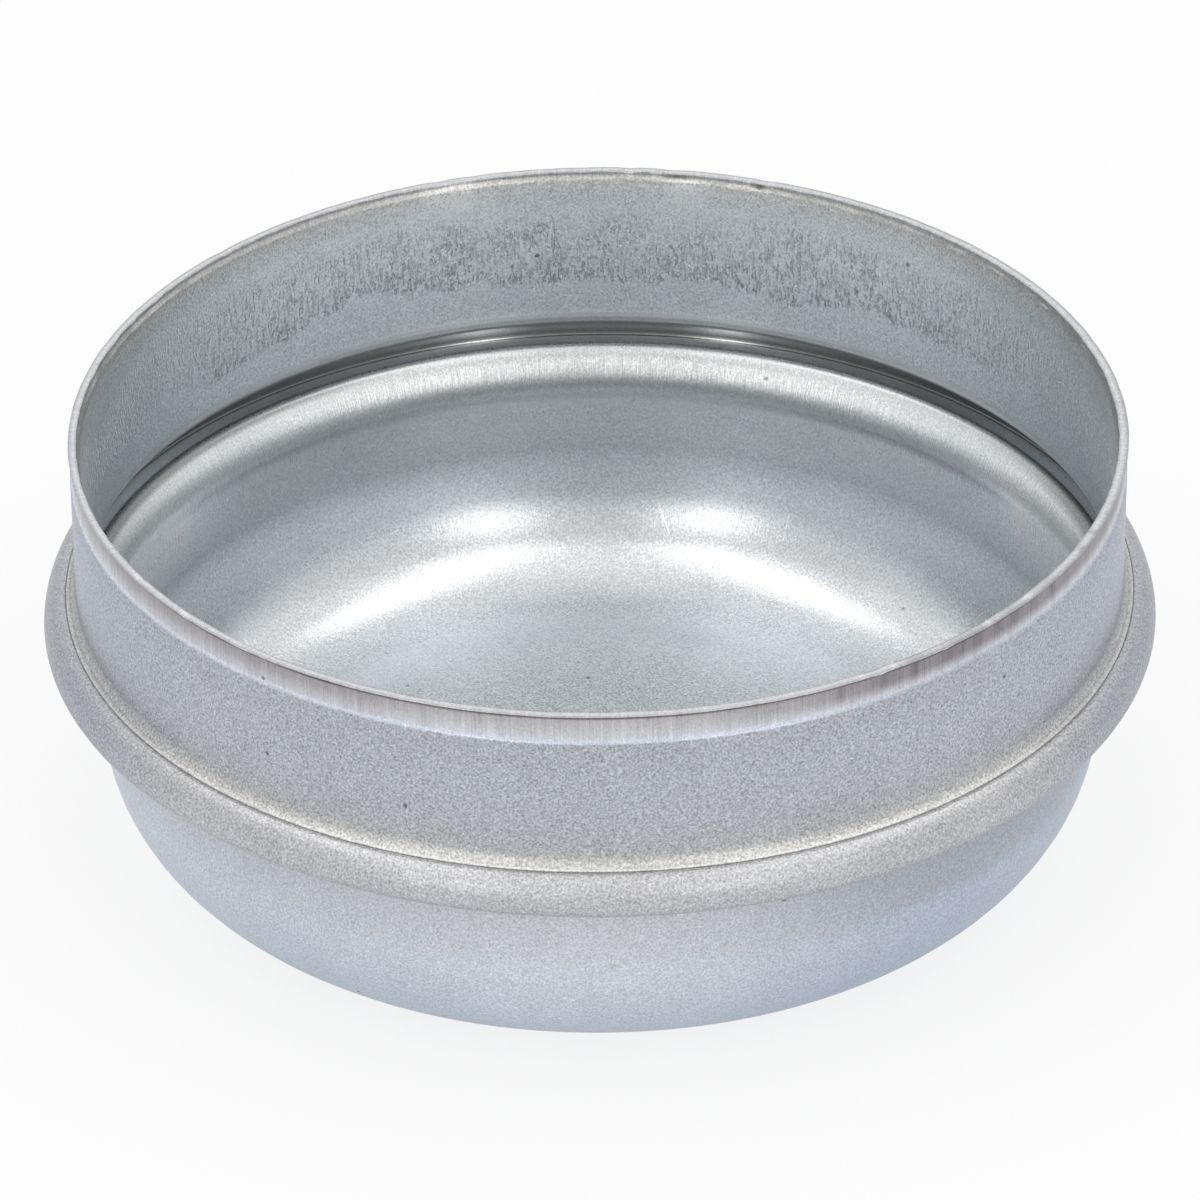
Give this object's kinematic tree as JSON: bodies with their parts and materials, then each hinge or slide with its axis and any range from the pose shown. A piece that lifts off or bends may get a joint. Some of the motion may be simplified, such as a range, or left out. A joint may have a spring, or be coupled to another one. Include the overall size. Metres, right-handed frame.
{
  "type": "hub grease cap",
  "caption": "Round pressed-steel grease cap with a straight press-in wall, a folded stop bead and a shallow dome with a flat closed end, for sealing the outer end of a wheel hub.",
  "frame": {"origin": "centre of the flat closed end, on the outside of the sheet, which is also the middle of the part's lowest face", "axes": "+Z along the axis of the cap, from the closed end towards the open mouth; X and Y are alike, because the cap is round"},
  "size_m": [0.08, 0.08, 0.0326],
  "materials": {
    "zinc_plate": "zinc plated sheet steel, satin, with draw marks along the wall"
  },
  "bodies": {
    "root": {"grease_cap": "zinc_plate"}
  },
  "joints": []
}
